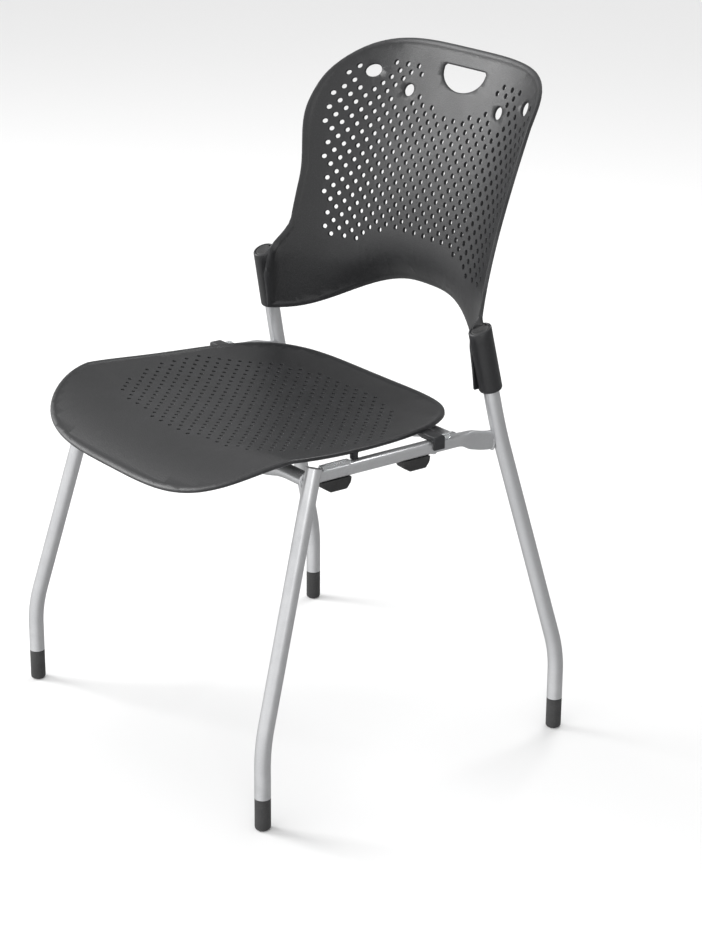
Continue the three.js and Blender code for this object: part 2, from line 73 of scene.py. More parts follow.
# ---- Finishes ------------------------------------------------------------------------------------
def new_group(name: str, inputs: dict[str, float], outputs: Sequence[str]) -> tuple[Tree, dict, dict]:
    """Starts a shader node group with float inputs and outputs.

    Args:
        name: The group's name.
        inputs: Each input's name and its default value.
        outputs: The outputs' names.

    Returns:
        The tree, its input sockets by name and its output sockets by name.
    """
    tree = bpy.data.node_groups.new(name, "ShaderNodeTree")
    tree.interface.new_socket("Vector", in_out="INPUT", socket_type="NodeSocketVector")
    for label, value in inputs.items():
        made = tree.interface.new_socket(label, in_out="INPUT", socket_type="NodeSocketFloat")
        made.default_value = value
    for label in outputs:
        tree.interface.new_socket(label, in_out="OUTPUT", socket_type="NodeSocketFloat")
    entry = tree.nodes.new("NodeGroupInput")
    leave = tree.nodes.new("NodeGroupOutput")
    return tree, {s.name: s for s in entry.outputs}, {s.name: s for s in leave.inputs}


def noise(tree: Tree, vector: Socket, scale: Socket | float, detail: float, rough: float) -> Socket:
    """Adds a noise texture.

    Args:
        tree: The tree to add it to.
        vector: Where it reads its coordinates.
        scale: A socket or a value for its scale.
        detail: Its detail.
        rough: Its roughness.

    Returns:
        The texture's factor.
    """
    node = tree.nodes.new("ShaderNodeTexNoise")
    node.inputs["Detail"].default_value = detail
    node.inputs["Roughness"].default_value = rough
    tree.links.new(vector, node.inputs["Vector"])
    if isinstance(scale, float):
        node.inputs["Scale"].default_value = scale
    else:
        tree.links.new(scale, node.inputs["Scale"])
    return node.outputs["Fac"]


def ramp(tree: Tree, value: Socket, low: float, high: float, to_low: float = 0.0,
         to_high: float = 1.0) -> Socket:
    """Stretches one range onto another.

    Args:
        tree: The tree to add the node to.
        value: The value to stretch.
        low: The first range's lower end.
        high: The first range's upper end.
        to_low: What low becomes.
        to_high: What high becomes.

    Returns:
        The stretched value.
    """
    node = tree.nodes.new("ShaderNodeMapRange")
    node.inputs["From Min"].default_value = low
    node.inputs["From Max"].default_value = high
    node.inputs["To Min"].default_value = to_low
    node.inputs["To Max"].default_value = to_high
    tree.links.new(value, node.inputs["Value"])
    return node.outputs["Result"]


def arithmetic(tree: Tree, operation: str, first: Socket, second: Socket | float) -> Socket:
    """Adds a math node.

    Args:
        tree: The tree to add it to.
        operation: The operation's name.
        first: The first value.
        second: The second value, a socket or a number.

    Returns:
        The node's result.
    """
    node = tree.nodes.new("ShaderNodeMath")
    node.operation = operation
    tree.links.new(first, node.inputs[0])
    if isinstance(second, float):
        node.inputs[1].default_value = second
    else:
        tree.links.new(second, node.inputs[1])
    return node.outputs[0]


def grain_group() -> Tree:
    """Builds the moulded or sprayed grain: a height of fine pimples over a slow swell.

    Returns:
        The group's tree.
    """
    tree, given, out = new_group("fine_grain", {"Scale": 1800.0, "Swell": 0.15}, ["Height"])
    fine = noise(tree, given["Vector"], given["Scale"], 3.0, 0.6)
    swell = noise(tree, given["Vector"], 22.0, 2.0, 0.5)
    height = arithmetic(tree, "MULTIPLY", swell, given["Swell"])
    tree.links.new(arithmetic(tree, "ADD", fine, height), out["Height"])
    return tree


def mottle_group() -> Tree:
    """Builds a mask of soft patches, broken up by specks.

    Returns:
        The group's tree.
    """
    tree, given, out = new_group("soft_mottle", {"Scale": 9.0, "Speck": 900.0}, ["Mask", "Specks"])
    patches = noise(tree, given["Vector"], given["Scale"], 4.0, 0.55)
    specks = noise(tree, given["Vector"], given["Speck"], 2.0, 0.7)
    tree.links.new(ramp(tree, patches, 0.32, 0.7), out["Mask"])
    tree.links.new(ramp(tree, specks, 0.5, 0.72), out["Specks"])
    return tree


def wear_group() -> Tree:
    """Builds a mask of rubbed edges, from how pointed the surface is.

    Returns:
        The group's tree.
    """
    tree, given, out = new_group("edge_wear", {"Scale": 60.0}, ["Mask"])
    geometry = tree.nodes.new("ShaderNodeNewGeometry")
    edge = ramp(tree, geometry.outputs["Pointiness"], 0.505, 0.56)
    broken = ramp(tree, noise(tree, given["Vector"], given["Scale"], 3.0, 0.6), 0.35, 0.7)
    tree.links.new(arithmetic(tree, "MULTIPLY", edge, broken), out["Mask"])
    return tree


@dataclass(frozen=True)
class Finish:
    """A surface finish: two close colours, a gloss range, grain and edge wear."""

    name: str
    slot: Slot
    colour: tuple[float, float, float]
    shade: tuple[float, float, float]
    worn: tuple[float, float, float]
    roughness: tuple[float, float]
    metallic: float = 0.0
    grain_scale: float = 1800.0
    grain_depth: float = 0.00006
    swell: float = 0.15
    wear: float = 0.3
    specular: float = 0.5
    transmission: float = 0.0
    ior: float = 1.5

    def group(self, tree: Tree, kind: str, vector: Socket) -> bpy.types.Node:
        """Places a shared node group and feeds it coordinates.

        Args:
            tree: The material's tree.
            kind: The group's name.
            vector: The coordinates.

        Returns:
            The group's node.
        """
        node = tree.nodes.new("ShaderNodeGroup")
        node.node_tree = bpy.data.node_groups[kind]
        tree.links.new(vector, node.inputs["Vector"])
        return node

    def blend(self, tree: Tree, mask: Socket, first: Socket | None, second: Sequence[float]) -> Socket:
        """Mixes a second colour over the first by a mask.

        Args:
            tree: The material's tree.
            mask: How much of the second colour shows.
            first: The colour underneath, or None for the finish's own.
            second: The colour laid over it.

        Returns:
            The mixed colour.
        """
        node = tree.nodes.new("ShaderNodeMix")
        node.data_type = "RGBA"
        tree.links.new(mask, node.inputs[0])
        if first is None:
            node.inputs[6].default_value = (*self.colour, 1.0)
        else:
            tree.links.new(first, node.inputs[6])
        node.inputs[7].default_value = (*second, 1.0)
        return node.outputs[2]

    def material(self) -> bpy.types.Material:
        """Builds the material, or returns the one already built.

        Returns:
            The material.
        """
        if self.name in bpy.data.materials:
            return bpy.data.materials[self.name]
        made = bpy.data.materials.new(self.name)
        made.use_nodes = True
        tree = made.node_tree
        shader = tree.nodes["Principled BSDF"]
        where = tree.nodes.new("ShaderNodeTexCoord").outputs["Object"]
        mottle = self.group(tree, "soft_mottle", where)
        grain = self.group(tree, "fine_grain", where)
        wear = self.group(tree, "edge_wear", where)
        grain.inputs["Scale"].default_value = self.grain_scale
        grain.inputs["Swell"].default_value = self.swell
        colour = self.blend(tree, mottle.outputs["Mask"], None, self.shade)
        specks = arithmetic(tree, "MULTIPLY", mottle.outputs["Specks"], 0.35)
        colour = self.blend(tree, specks, colour, self.worn)
        rubbed = arithmetic(tree, "MULTIPLY", wear.outputs["Mask"], self.wear)
        colour = self.blend(tree, rubbed, colour, self.worn)
        tree.links.new(colour, shader.inputs["Base Color"])
        gloss = ramp(tree, mottle.outputs["Mask"], 0.0, 1.0, *self.roughness)
        tree.links.new(gloss, shader.inputs["Roughness"])
        bump = tree.nodes.new("ShaderNodeBump")
        bump.inputs["Strength"].default_value = 1.0
        bump.inputs["Distance"].default_value = self.grain_depth
        tree.links.new(grain.outputs["Height"], bump.inputs["Height"])
        tree.links.new(bump.outputs["Normal"], shader.inputs["Normal"])
        shader.inputs["Metallic"].default_value = self.metallic
        shader.inputs["IOR"].default_value = self.ior
        shader.inputs["Specular IOR Level"].default_value = self.specular
        shader.inputs["Transmission Weight"].default_value = self.transmission
        return made


POWDER_COAT = Finish("silver_powder_coat", Slot.FRAME, (0.5, 0.505, 0.515), (0.44, 0.445, 0.455),
                     (0.66, 0.665, 0.67), (0.27, 0.38), metallic=0.75, grain_scale=1200.0,
                     grain_depth=0.00005, swell=0.5)
CHARCOAL = Finish("charcoal_polypropylene", Slot.SHELL, (0.0125, 0.0127, 0.0137), (0.0095, 0.0097, 0.0104),
                  (0.045, 0.046, 0.051), (0.34, 0.44), grain_scale=650.0, grain_depth=0.00026,
                  swell=0.6, specular=0.4)
CAP_GREY = Finish("dark_grey_moulding", Slot.CAP, (0.022, 0.022, 0.0225), (0.017, 0.017, 0.0175),
                  (0.09, 0.09, 0.09), (0.45, 0.55), grain_scale=1700.0, grain_depth=0.00007)
RUBBER = Finish("matt_black_rubber", Slot.RUBBER, (0.010, 0.010, 0.0105), (0.008, 0.008, 0.0085),
                (0.05, 0.05, 0.05), (0.6, 0.72), grain_scale=1100.0, grain_depth=0.00009)
CLEAR = Finish("clear_soft_plastic", Slot.CLEAR, (0.84, 0.86, 0.87), (0.78, 0.8, 0.81),
               (0.9, 0.9, 0.9), (0.12, 0.24), grain_scale=300.0, grain_depth=0.0002,
               transmission=0.75, ior=1.45, wear=0.1)
ZINC = Finish("zinc_plate", Slot.SCREW, (0.55, 0.56, 0.57), (0.42, 0.43, 0.45), (0.7, 0.7, 0.7),
              (0.25, 0.4), metallic=1.0, grain_scale=2400.0, grain_depth=0.00003)


# ---- Mesh making ---------------------------------------------------------------------------------
def link(name: str, data: bpy.types.ID) -> bpy.types.Object:
    """Makes an object of a mesh, a lamp or a lens, and puts it in the scene."""
    made = bpy.data.objects.new(name, data)
    bpy.context.scene.collection.objects.link(made)
    return made


def verts_of(made: Iterable[object]) -> list[bmesh.types.BMVert]:
    """Picks the vertices out of what an operator made."""
    return [g for g in made if isinstance(g, bmesh.types.BMVert)]


def rearward_of(up: Vector) -> Vector:
    """Gives the rearward direction square to a post."""
    return (Vector((0, 1, 0)) - up * up.y).normalized()


def finish_piece(name: str, bm: bmesh.types.BMesh, finish: Finish, nodes: Sequence[str],
                 sharp: float = 40.0) -> bpy.types.Object:
    """Turns a bmesh into a piece of the chair.

    Args:
        name: The piece's name.
        bm: Its mesh, in the chair's frame. It is freed.
        finish: What it is made of.
        nodes: The CAD nodes that it stands for.
        sharp: The angle in degrees above which an edge stays crisp.

    Returns:
        The new object.
    """
    bmesh.ops.remove_doubles(bm, verts=bm.verts, dist=0.00001)
    bmesh.ops.recalc_face_normals(bm, faces=bm.faces)
    mesh = bpy.data.meshes.new(f"fine_{name}")
    bm.to_mesh(mesh)
    bm.free()
    mesh.shade_smooth()
    mesh.set_sharp_from_angle(angle=math.radians(sharp))
    mesh.materials.append(finish.material())
    piece = link(f"fine_{name}", mesh)
    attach(piece, "root")
    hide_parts(*nodes)
    LOG.info("%s: %d faces", name, len(mesh.polygons))
    return piece


def ring(bm: bmesh.types.BMesh, points: Iterable[Point2]) -> list[bmesh.types.BMEdge]:
    """Adds a closed loop of edges in the XY plane.

    Args:
        bm: The mesh to add it to.
        points: The loop's corners in order.

    Returns:
        The loop's edges.
    """
    verts = [bm.verts.new((x, y, 0.0)) for x, y in points]
    return [bm.edges.new((a, b)) for a, b in zip(verts, verts[1:] + verts[:1])]


def circle(radius: float, count: int = 32) -> list[Point2]:
    """Gives the corners of a round section."""
    turn = 2 * math.pi / count
    return [(radius * math.cos(i * turn), radius * math.sin(i * turn)) for i in range(count)]


def rounded_box(width: float, height: float, corner: float, steps: int = 5) -> list[Point2]:
    """Gives the corners of a rectangle with round corners.

    Args:
        width: Its full width.
        height: Its full height.
        corner: The radius of its corners.
        steps: How many faces each corner has.

    Returns:
        The corners in order.
    """
    points = []
    for quarter, (sx, sy) in enumerate(((1, 1), (-1, 1), (-1, -1), (1, -1))):
        for step in range(steps + 1):
            angle = (quarter + step / steps) * math.pi / 2
            points.append((sx * (width / 2 - corner) + corner * math.cos(angle),
                           sy * (height / 2 - corner) + corner * math.sin(angle)))
    return points


def eased_path(points: Sequence[Vector], reach: float, steps: int = 9) -> list[Vector]:
    """Rounds the corners of a path.

    Args:
        points: The path's corners.
        reach: How far each rounding runs back along its two legs.
        steps: How many points each rounding has.

    Returns:
        The path's points, with the corners rounded.
    """
    path = [points[0]]
    for before, corner, after in zip(points, points[1:], points[2:]):
        first = corner + (before - corner).normalized() * reach
        last = corner + (after - corner).normalized() * reach
        for step in range(steps + 1):
            t = step / steps
            path.append(first * (1 - t) ** 2 + corner * 2 * t * (1 - t) + last * t ** 2)
    return path + [points[-1]]


def sweep(bm: bmesh.types.BMesh, sections: Sequence[Sequence[Point2]], path: Sequence[Vector],
          across: Vector, scales: Sequence[Point2] | None = None) -> None:
    """Sweeps closed sections along a path, and closes the ends between them.

    Args:
        bm: The mesh to add to.
        sections: An outer loop, and an inner loop if the tube is hollow.
        path: The centre line.
        across: The direction that a section's X axis keeps to.
        scales: The section's stretch in X and Y at each point of the path.
    """
    stations = []
    for index, point in enumerate(path):
        ahead = path[min(index + 1, len(path) - 1)]
        behind = path[max(index - 1, 0)]
        along = (ahead - behind).normalized()
        side = (across - along * across.dot(along)).normalized()
        turn = Matrix((side, along.cross(side), along)).transposed().to_4x4()
        stretch = Matrix.Diagonal((*(scales[index] if scales else (1.0, 1.0)), 1.0, 1.0))
        stations.append(Matrix.Translation(point) @ turn @ stretch)
    loops = [ring(bm, section) for section in sections]
    starts = [edge for loop in loops for edge in loop]
    verts = list({v for edge in starts for v in edge.verts})
    bmesh.ops.transform(bm, matrix=stations[0], verts=verts)
    current = starts
    for before, after in zip(stations, stations[1:]):
        made = bmesh.ops.extrude_edge_only(bm, edges=current)["geom"]
        verts = verts_of(made)
        bmesh.ops.transform(bm, matrix=after @ before.inverted(), verts=verts)
        fresh = set(verts)
        current = [g for g in made if isinstance(g, bmesh.types.BMEdge)
                   and g.verts[0] in fresh and g.verts[1] in fresh]
    for end in (starts, current):
        if len(sections) > 1:
            bmesh.ops.bridge_loops(bm, edges=end)
        else:
            bmesh.ops.holes_fill(bm, edges=end)


def turned(bm: bmesh.types.BMesh, profile: Sequence[Point2], origin: Vector, direction: Vector,
           steps: int = 40) -> None:
    """Spins a profile of (radius, height) pairs round an axis.

    Args:
        bm: The mesh to add to.
        profile: The profile, from axis to axis or closed on itself.
        origin: Where height 0 is.
        direction: The way height grows.
        steps: How many faces go round.
    """
    verts = [bm.verts.new((r, 0.0, h)) for r, h in profile]
    edges = [bm.edges.new(pair) for pair in zip(verts, verts[1:])]
    made = bmesh.ops.spin(bm, geom=verts + edges, cent=(0, 0, 0), axis=(0, 0, 1), dvec=(0, 0, 0),
                          angle=2 * math.pi, steps=steps, use_merge=True, use_duplicate=False)
    whole = {v for g in made["geom_last"] for v in getattr(g, "verts", [g])} | set(verts)
    reached = set(whole)
    while reached:
        near = {e.other_vert(v) for v in reached for e in v.link_edges} - whole
        whole |= near
        reached = near
    turn = Vector((0, 0, 1)).rotation_difference(direction).to_matrix().to_4x4()
    bmesh.ops.transform(bm, matrix=Matrix.Translation(origin) @ turn, verts=list(whole))


def block(bm: bmesh.types.BMesh, low: Vector, high: Vector, bevel: float, segments: int = 3) -> None:
    """Adds a box with rounded edges.

    Args:
        bm: The mesh to add to.
        low: Its lowest corner.
        high: Its highest corner.
        bevel: The radius of its edges.
        segments: How many faces each rounding has.
    """
    middle = Matrix.Translation((low + high) / 2) @ Matrix.Diagonal((*(high - low), 1.0))
    verts = bmesh.ops.create_cube(bm, size=1.0, matrix=middle)["verts"]
    edges = list({e for v in verts for e in v.link_edges})
    bmesh.ops.bevel(bm, geom=edges, offset=bevel, segments=segments, profile=0.5, affect="EDGES",
                    material=-1)


def smoothstep(value: float, low: float, high: float) -> float:
    """Rises smoothly from 0 at low to 1 at high."""
    t = min(1.0, max(0.0, (value - low) / (high - low)))
    return t * t * (3 - 2 * t)


def mix(first: float, second: float, t: float) -> float:
    """Goes from first to second as t goes from 0 to 1."""
    return first + (second - first) * t


# ---- Frame ---------------------------------------------------------------------------------------
@dataclass
class TubeFrame:
    """The bent steel tube frame, with its feet, plugs, pads and stacking blocks."""

    tube_radius: float = 0.0098
    tube_wall: float = 0.002
    knee_height: float = 0.105
    knee_reach: float = 0.026
    cap_height: float = 0.041
    front_top: Vector = field(default_factory=lambda: Vector((-0.026, 0.093, 0.426)))
    junction: Vector = field(default_factory=lambda: Vector((-0.029, -0.083, 0.413)))
    post_top: Vector = field(default_factory=lambda: Vector((-0.0365, -0.109, 0.538)))
    rail_width: float = 0.018
    rail_height: float = 0.015
    rail_level: float = 0.412
    rail_x: float = 0.226
    rail_end: float = 0.038
    cross_radius: float = 0.009
    cross_drop: float = 0.010
    rail_corner: float = 0.0055
    rail_sag: float = 0.011
    pressed: Point2 = (0.62, 1.55)
    weld_bead: float = 0.0016
    cap_soft: float = 0.004
    stem_height: float = 0.016
    plug_depth: float = 0.012

    def foot(self, side: int, place: str) -> Vector:
        """Gives the floor point under a foot.

        Args:
            side: 1 for the sitter's left, -1 for the right.
            place: front or rear.

        Returns:
            The point.
        """
        low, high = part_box(f"foot_cap_{place}_{'left' if side > 0 else 'right'}")
        middle = (Vector(low) + Vector(high)) / 2
        return Vector((middle.x, middle.y, 0.0))

    def offset(self, foot: Vector, side: int, step: Vector) -> Vector:
        """Gives a point above a foot, with step's X turned inwards on either side."""
        return Vector((foot.x + side * step.x, foot.y + step.y, step.z))

    def front_points(self, side: int) -> list[Vector]:
        """Gives a front leg's corners from the foot up."""
        foot = self.foot(side, "front")
        return [foot, foot + Vector((0, 0, self.knee_height)), self.offset(foot, side, self.front_top)]

    def rear_points(self, side: int) -> list[Vector]:
        """Gives a rear leg's corners from the foot up."""
        foot = self.foot(side, "rear")
        return [foot, foot + Vector((0, 0, self.knee_height)), self.offset(foot, side, self.junction),
                self.offset(foot, side, self.post_top)]

    def build(self) -> None:
        """Builds the whole frame."""
        for side, word in SIDES:
            self.build_leg(f"front_leg_{word}", self.front_points(side))
            self.build_leg(f"rear_leg_{word}", self.rear_points(side))
            self.build_rail(side, word)
            self.build_plug(side, word)
            for place in ("front", "rear"):
                self.build_foot(side, word, place)
                self.build_block(f"stack_bumper_{place}_{word}")
                self.build_pad(f"rail_pad_{place}_{word}")
        for place in ("front", "rear"):
            self.build_cross_tube(place)

    def build_leg(self, name: str, points: list[Vector]) -> None:
        """Sweeps one leg, hollow, with its bends rounded and its ends cut square.

        Args:
            name: The piece's name.
            points: The leg's corners from the foot up.
        """
        start = points[0] + Vector((0, 0, self.cap_height + GAP))
        path = eased_path([start] + points[1:], self.knee_reach)
        bm = bmesh.new()
        outer = circle(self.tube_radius)
        inner = circle(self.tube_radius - self.tube_wall)
        sweep(bm, [outer, inner], path, Vector((1, 0, 0)))
        finish_piece(name, bm, POWDER_COAT, [name])

    def build_rail(self, side: int, word: str) -> None:
        """Sweeps a side rail, whose rear end is pressed tall and thin to meet the post.

        Args:
            side: 1 for the sitter's left, -1 for the right.
            word: The side's word in the piece's name.
        """
        low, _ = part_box(f"side_rail_{word}")
        foot = self.foot(side, "rear")
        front_y = low[1] + self.tube_radius
        rear_y = foot.y + self.junction.y - self.tube_radius * 0.55
        length = rear_y - front_y
        path, scales = [], []
        marks = (0.0, 0.3, 0.6, 0.075, 0.061, 0.056, 0.051, 0.045, 0.039, 0.034, 0.031, 0.024, 0.016,
                 0.008, 0.0)
        for index, mark in enumerate(marks):
            along = length * mark if index < 3 else length - mark
            end = smoothstep(along, length - self.rail_end * 1.4, length - self.rail_end * 0.85)
            drop = smoothstep(along, length - self.rail_end * 1.6, length) * self.rail_sag
            path.append(Vector((side * self.rail_x, front_y + along, self.rail_level - drop)))
            scales.append((mix(1.0, self.pressed[0], end), mix(1.0, self.pressed[1], end)))
        bm = bmesh.new()
        section = rounded_box(self.rail_width, self.rail_height, self.rail_corner)
        sweep(bm, [section], path, Vector((1, 0, 0)), scales)
        self.add_weld(bm, Vector((side * (self.rail_x + 0.001), rear_y - 0.001, self.rail_level - 0.0115)),
                      Vector((0, 1, 0)), 0.0042, 0.0118)
        self.add_weld(bm, Vector((side * (self.rail_x + 0.002), front_y - 0.001, self.rail_level)),
                      Vector((0, 1, 0)), 0.0075, 0.0072)
        finish_piece(f"side_rail_{word}", bm, POWDER_COAT, [f"side_rail_{word}"])

    def add_weld(self, bm: bmesh.types.BMesh, centre: Vector, axis: Vector, half_x: float,
                 half_z: float) -> None:
        """Adds a rippled weld bead round the end of a rail or cross tube.

        Args:
            bm: The mesh to add to.
            centre: The middle of the joint.
            axis: The tube's direction there.
            half_x: Half the bead's width.
            half_z: Half the bead's height.
        """
        count = 40
        side = Vector((1, 0, 0)) if abs(axis.y) > 0.5 else Vector((0, 1, 0))
        bead = [centre + side * half_x * math.cos(i * 2 * math.pi / count)
                + Vector((0, 0, half_z * math.sin(i * 2 * math.pi / count))) for i in range(count + 1)]
        swell = [(1.0 + 0.18 * math.sin(i * 2.4),) * 2 for i in range(count + 1)]
        sweep(bm, [circle(self.weld_bead, 8)], bead, axis, swell)

    def build_cross_tube(self, place: str) -> None:
        """Sweeps a cross tube, whose middle hangs a little below its ends.

        Args:
            place: front or rear.
        """
        low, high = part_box(f"{place}_cross_tube")
        middle_y = (low[1] + high[1]) / 2
        if place == "front":
            middle_y = low[1] + self.cross_radius
        level = high[2] - self.cross_radius
        half = high[0]
        bends = [(1.0, 0.0), (0.78, 0.0), (0.6, 1.0)]
        right = [Vector((-half * reach, middle_y, level - self.cross_drop * drop)) for reach, drop in bends]
        left = [Vector((-p.x, p.y, p.z)) for p in reversed(right)]
        bm = bmesh.new()
        sweep(bm, [circle(self.cross_radius, 28)], eased_path(right + left, 0.014), Vector((0, 1, 0)))
        for side in (1, -1):
            self.add_weld(bm, Vector((side * (half - 0.004), middle_y, level)), Vector((1, 0, 0)),
                          self.cross_radius, self.cross_radius)
        name = f"{place}_cross_tube"
        finish_piece(name, bm, POWDER_COAT, [name])

    def build_foot(self, side: int, word: str, place: str) -> None:
        """Turns a foot cap, rounded below and stepped in where the tube sits on it.

        Args:
            side: 1 for the sitter's left, -1 for the right.
            word: The side's word in the piece's name.
            place: front or rear.
        """
        name = f"foot_cap_{place}_{word}"
        radius, height, soft = self.tube_radius, self.cap_height, self.cap_soft
        stem = self.tube_radius - self.tube_wall - GAP
        arc = [(radius - soft + soft * math.sin(a * math.pi / 12), soft - soft * math.cos(a * math.pi / 12))
               for a in range(7)]
        tip = height + self.stem_height
        profile = [(0.0, 0.0), *arc, (radius, height * 0.5), (radius, height - 0.0008),
                   (radius - 0.0008, height), (stem, height), (stem, tip - 0.001),
                   (stem - 0.001, tip), (0.0, tip)]
        bm = bmesh.new()
        turned(bm, profile, self.foot(side, place), Vector((0, 0, 1)))
        finish_piece(name, bm, CAP_GREY, [name])

    def build_plug(self, side: int, word: str) -> None:
        """Turns the plug that closes the open top of a front leg.

        Args:
            side: 1 for the sitter's left, -1 for the right.
            word: The side's word in the piece's name.
        """
        _, knee, top = self.front_points(side)
        down = (knee - top).normalized()
        radius = self.tube_radius - self.tube_wall - GAP
        profile = [(0.0, 0.0), (radius - 0.001, 0.0), (radius, 0.001), (radius, 0.0100),
                   (radius - 0.0008, 0.0112), (radius - 0.0022, 0.0112), (radius - 0.003, 0.0106),
                   (0.0, 0.0108)]
        bm = bmesh.new()
        turned(bm, profile, top + down * self.plug_depth, -down)
        finish_piece(f"leg_plug_{word}", bm, RUBBER, [f"leg_plug_{word}"])

    def build_block(self, name: str) -> None:
        """Builds a stacking block: a soft boat under the rail, drawn in at both ends below.

        Args:
            name: The piece's name.
        """
        low, high = (Vector(corner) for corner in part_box(name))
        bm = bmesh.new()
        middle = (low + high) / 2
        bmesh.ops.create_cube(bm, size=1.0, matrix=Matrix.Translation(middle)
                              @ Matrix.Diagonal((*(high - low), 1.0)))
        bmesh.ops.subdivide_edges(bm, edges=[e for e in bm.edges
                                             if abs(e.verts[0].co.z - e.verts[1].co.z) > 0.001], cuts=1)
        for vert in bm.verts:
            below = (high.z - vert.co.z) / (high.z - low.z)
            pull = 0.0125 if vert.co.y < middle.y else 0.006
            vert.co.y -= math.copysign(pull * max(0.0, below - 0.45) / 0.55, vert.co.y - middle.y)
            vert.co.x -= (vert.co.x - middle.x) * 0.12 * below
        bmesh.ops.bevel(bm, geom=list(bm.edges), offset=0.0016, segments=3, profile=0.5,
                        affect="EDGES", material=-1)
        finish_piece(name, bm, RUBBER, [name], sharp=60.0)

    def build_pad(self, name: str) -> None:
        """Builds a clear pad: a soft lozenge with a moulded ridge along its top.

        Args:
            name: The piece's name.
        """
        low, high = (Vector(corner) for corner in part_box(name))
        bm = bmesh.new()
        block(bm, low, high - Vector((0, 0, 0.0014)), 0.0016)
        inset = Vector(((high.x - low.x) * 0.3, (high.y - low.y) * 0.14, 0))
        ridge_low = Vector((low.x, low.y, high.z - 0.0022)) + inset
        block(bm, ridge_low, high - inset, 0.0007, 2)
        finish_piece(name, bm, CLEAR, [name], sharp=60.0)


# ---- Shells --------------------------------------------------------------------------------------
def rounded_square(a: float, b: float, power: float) -> Point2:
    """Carries a square onto a rounded square, so the outline has no corners."""
    return (a * (1 - abs(b) ** power / 2) ** (1 / power), b * (1 - abs(a) ** power / 2) ** (1 / power))


def square_rim(count: int) -> list[Point2]:
    """Goes once round the edge of the square from -1 to 1, anticlockwise."""
    edge = [mix(-1.0, 1.0, i / count) for i in range(count)]
    return ([(t, -1.0) for t in edge] + [(1.0, t) for t in edge]
            + [(-t, 1.0) for t in edge] + [(-1.0, -t) for t in edge])


@dataclass
class Opening:
    """A hole through a shell: its outline in the plan and how far its rim is eased."""

    outline: list[Point2]
    rim: float


@dataclass
class ShellMaker:
    """Makes a moulded shell from a flat plan with holes, laid onto a surface."""

    plan: list[Point2]
    openings: list[Opening]
    surface: Callable[[float, float], tuple[Vector, Vector]]
    thickness: float = 0.005
    slice_width: float = 0.011
    edge_round: float = 0.0013
    lip_width: float = 0.006
    lip_step: float = 0.0005
    fine_cuts: list[float] = field(default_factory=list)
    swell: Callable[[Vector], float] = lambda point: 0.0

    def loop_inside(self, distance: float) -> list[Point2]:
        """Gives the plan's outline moved inwards.

        Args:
            distance: How far it moves.

        Returns:
            The moved outline.
        """
        points = []
        total = len(self.plan)
        for i, (x, y) in enumerate(self.plan):
            before, after = self.plan[i - 1], self.plan[(i + 1) % total]
            dx, dy = after[0] - before[0], after[1] - before[1]
            size = math.hypot(dx, dy) or 1.0
            points.append((x - dy / size * distance, y + dx / size * distance))
        return points

    def flat_sheet(self) -> bmesh.types.BMesh:
        """Fills the plan, leaving the openings out, and marks rims and lip in vertex layers.

        Returns:
            The flat sheet.
        """
        bm = bmesh.new()
        rim = bm.verts.layers.float.new("rim")
        lip = bm.verts.layers.float.new("lip")
        steps = [(0.0, 1.0, 0.0), (self.edge_round, 0.0, 0.0), (self.lip_width, 0.0, 0.0),
                 (self.lip_width + 0.0012, 0.0, 1.0)]
        loops = []
        for distance, round_mark, lip_mark in steps:
            edges = ring(bm, self.loop_inside(distance))
            for vert in {v for e in edges for v in e.verts}:
                vert[rim], vert[lip] = round_mark, lip_mark
            loops.append(edges)
        borders = list(loops[-1])
        cores = []
        for opening in self.openings:
            edges = ring(bm, opening.outline)
            face = bm.faces.new([e.verts[0] for e in edges])
            for vert in face.verts:
                vert[lip] = 1.0
            borders += edges
            cores.append((face, opening.rim))
        bmesh.ops.triangle_fill(bm, edges=borders, use_beauty=True, use_dissolve=False)
        for outer, inner in zip(loops, loops[1:]):
            bmesh.ops.bridge_loops(bm, edges=outer + inner)
        for width in {width for _, width in cores}:
            faces = [face for face, own in cores if own == width]
            bmesh.ops.inset_individual(bm, faces=faces, thickness=width, use_even_offset=True)
        for face, _ in cores:
            for vert in face.verts:
                vert[rim] = 1.0
        bmesh.ops.delete(bm, geom=[face for face, _ in cores], context="FACES")
        return bm

    def slice_up(self, bm: bmesh.types.BMesh) -> None:
        """Cuts the flat sheet into narrow squares, so that it can bend.

        Args:
            bm: The sheet.
        """
        for axis in (0, 1):
            low = min(p[axis] for p in self.plan)
            high = max(p[axis] for p in self.plan)
            normal = (1, 0, 0) if axis == 0 else (0, 1, 0)
            count = round((high - low) / self.slice_width)
            cuts = [mix(low, high, i / count) for i in range(1, count)]
            for at in cuts + (self.fine_cuts if axis == 0 else []):
                place = (at, 0, 0) if axis == 0 else (0, at, 0)
                geometry = bm.verts[:] + bm.edges[:] + bm.faces[:]
                bmesh.ops.bisect_plane(bm, geom=geometry, dist=0.00002, plane_co=place,
                                       plane_no=normal)

    def build(self) -> bmesh.types.BMesh:
        """Lays the sheet on its surface and gives it its thickness.

        Returns:
            The closed shell.
        """
        bm = self.flat_sheet()
        self.slice_up(bm)
        rim = bm.verts.layers.float["rim"]
        lip = bm.verts.layers.float["lip"]
        under = list(bm.verts)
        made = bmesh.ops.extrude_face_region(bm, geom=bm.faces[:])["geom"]
        upper = verts_of(made)
        for verts, sign in ((upper, 1.0), (under, -1.0)):
            for vert in verts:
                point, normal = self.surface(vert.co.x, vert.co.y)
                eased = vert[rim] * self.edge_round * 0.8
                swell = self.swell(point)
                depth = eased + vert[lip] * self.lip_step - swell
                if sign < 0:
                    depth = self.thickness - eased + swell
                vert.co = point - normal * depth
        return bm


